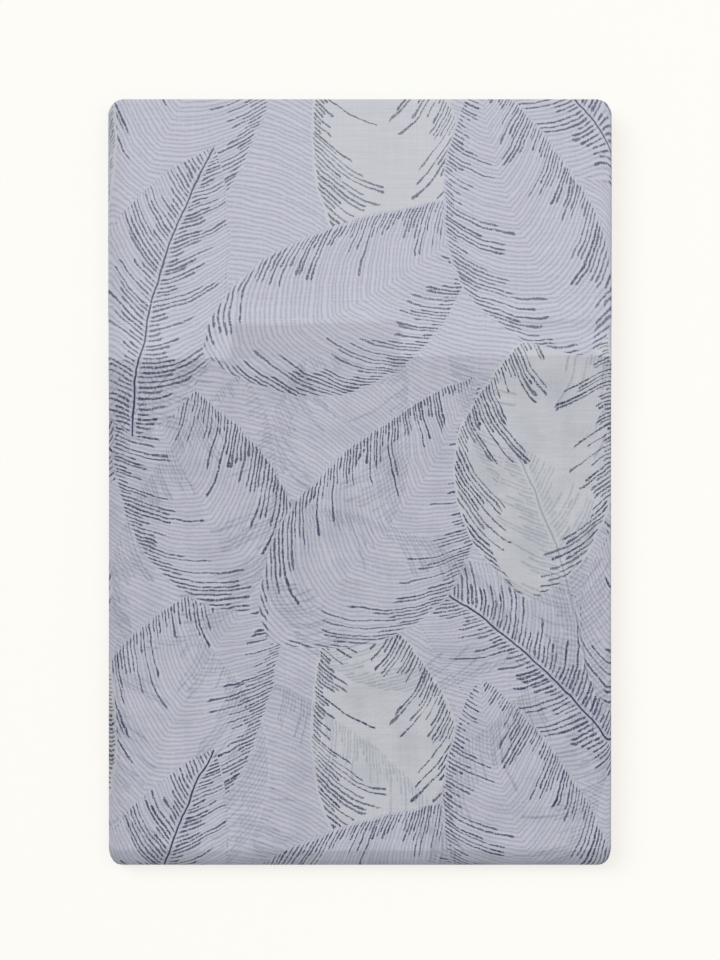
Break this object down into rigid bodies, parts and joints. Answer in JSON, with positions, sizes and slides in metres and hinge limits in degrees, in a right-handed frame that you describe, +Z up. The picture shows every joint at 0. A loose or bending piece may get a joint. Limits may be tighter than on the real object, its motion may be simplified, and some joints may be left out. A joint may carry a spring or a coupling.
{
  "type": "folded door curtain",
  "caption": "Long semi-sheer door curtain folded into a flat rectangular stack, with a turned heading, back tabs and a deep hem.",
  "frame": {"origin": "middle of the underside that the folded stack rests on", "axes": "+X across the width, +Y along the length towards the heading end, +Z up out of the stack"},
  "size_m": [0.3, 0.458, 0.0192],
  "materials": {
    "printed_voile": "matt semi-sheer cotton voile, pale lavender grey with navy hand-drawn strokes",
    "plain_voile": "matt semi-sheer cotton voile, plain pale grey"
  },
  "bodies": {
    "root": {"folded_panel": "printed_voile", "heading_tab_left": "plain_voile", "heading_tab_right": "plain_voile"}
  },
  "joints": []
}
